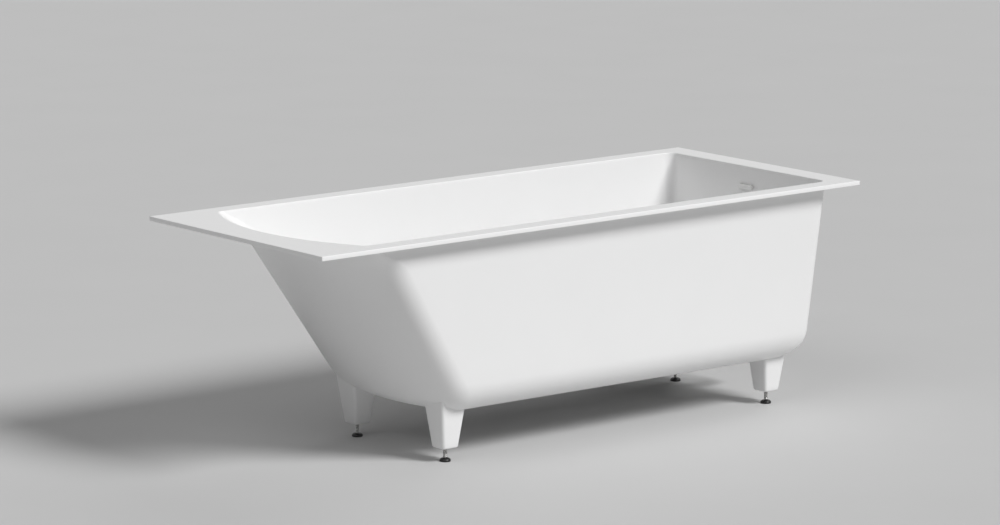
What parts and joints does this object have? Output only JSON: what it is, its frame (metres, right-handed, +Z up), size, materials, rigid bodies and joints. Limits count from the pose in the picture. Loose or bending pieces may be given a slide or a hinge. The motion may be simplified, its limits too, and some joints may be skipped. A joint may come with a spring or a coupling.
{
  "type": "bathtub",
  "caption": "Freestanding bathtub with a thin flat rim, a reclined head end, tapered legs on screw-levelling feet, a click plug, a shallow trap and a rigid overflow.",
  "frame": {"origin": "on the floor, under the middle of the rim", "axes": "+X along the tub from the head end to the foot end, +Y to the back where the waste pipe leaves, +Z up"},
  "size_m": [1.7, 0.7, 0.585],
  "materials": {
    "cast_white": "satin gel-coated mineral casting",
    "leg_white": "satin gel-coated mineral casting",
    "zinc_steel": "bright zinc plating on rolled thread",
    "black_plastic": "gloss black moulding",
    "brass": "turned, unplated",
    "chrome": "polished chrome plating on brass",
    "white_lacquer": "white gloss lacquer on brass",
    "stainless": "turned stainless steel",
    "seal_rubber": "matt black elastomer",
    "white_pp": "moulded white polypropylene",
    "grey_pp": "moulded grey polypropylene"
  },
  "bodies": {
    "tub": {"tub_shell": "cast_white", "leg_head_front": "leg_white", "leg_head_back": "leg_white", "leg_foot_front": "leg_white", "leg_foot_back": "leg_white", "leg_sleeves": "brass", "waste_flange": "chrome", "waste_flange_seal": "seal_rubber", "waste_body_seal": "seal_rubber", "click_cartridge": "brass", "waste_body": "white_pp", "overflow_pipe_nut_low": "grey_pp", "trap_inlet_nut": "grey_pp", "trap_body": "white_pp", "trap_cup": "grey_pp", "trap_seal": "seal_rubber", "trap_outlet_nut": "grey_pp", "waste_pipe": "white_pp", "overflow_flange": "white_pp", "overflow_cap": "white_lacquer", "overflow_screw": "stainless", "overflow_gasket": "seal_rubber", "overflow_elbow": "white_pp", "overflow_pipe_nut_top": "grey_pp", "overflow_pipe": "white_pp"},
    "pad_head_front": {"foot_pad_head_front": "black_plastic"},
    "stud_head_front": {"foot_stud_head_front": "zinc_steel"},
    "pad_head_back": {"foot_pad_head_back": "black_plastic"},
    "stud_head_back": {"foot_stud_head_back": "zinc_steel"},
    "pad_foot_front": {"foot_pad_foot_front": "black_plastic"},
    "stud_foot_front": {"foot_stud_foot_front": "zinc_steel"},
    "pad_foot_back": {"foot_pad_foot_back": "black_plastic"},
    "stud_foot_back": {"foot_stud_foot_back": "zinc_steel"},
    "plug": {"plug_cap": "white_lacquer", "plug_seal": "seal_rubber"}
  },
  "joints": [
    {"name": "pad_slide_head_front", "type": "slide", "parent": "tub", "child": "pad_head_front", "axis": [0, 0, -1], "range_m": [-0.012, 0.018]},
    {"name": "stud_turn_head_front", "type": "hinge", "parent": "pad_head_front", "child": "stud_head_front", "pos_m": [-0.355, -0.176, 0.04], "axis": [0, 0, -1], "range_deg": [-2880, 4320]},
    {"name": "pad_slide_head_back", "type": "slide", "parent": "tub", "child": "pad_head_back", "axis": [0, 0, -1], "range_m": [-0.012, 0.018]},
    {"name": "stud_turn_head_back", "type": "hinge", "parent": "pad_head_back", "child": "stud_head_back", "pos_m": [-0.355, 0.176, 0.04], "axis": [0, 0, -1], "range_deg": [-2880, 4320]},
    {"name": "pad_slide_foot_front", "type": "slide", "parent": "tub", "child": "pad_foot_front", "axis": [0, 0, -1], "range_m": [-0.012, 0.018]},
    {"name": "stud_turn_foot_front", "type": "hinge", "parent": "pad_foot_front", "child": "stud_foot_front", "pos_m": [0.694, -0.176, 0.04], "axis": [0, 0, -1], "range_deg": [-2880, 4320]},
    {"name": "pad_slide_foot_back", "type": "slide", "parent": "tub", "child": "pad_foot_back", "axis": [0, 0, -1], "range_m": [-0.012, 0.018]},
    {"name": "stud_turn_foot_back", "type": "hinge", "parent": "pad_foot_back", "child": "stud_foot_back", "pos_m": [0.694, 0.176, 0.04], "axis": [0, 0, -1], "range_deg": [-2880, 4320]},
    {"name": "plug_slide", "type": "slide", "parent": "tub", "child": "plug", "axis": [0, 0, 1], "range_m": [0, 0.008]}
  ],
  "couplings": [
    {"joint": "stud_turn_head_front", "follows": "pad_slide_head_front", "rad_per_m": 4188.8},
    {"joint": "stud_turn_head_back", "follows": "pad_slide_head_back", "rad_per_m": 4188.8},
    {"joint": "stud_turn_foot_front", "follows": "pad_slide_foot_front", "rad_per_m": 4188.8},
    {"joint": "stud_turn_foot_back", "follows": "pad_slide_foot_back", "rad_per_m": 4188.8}
  ]
}
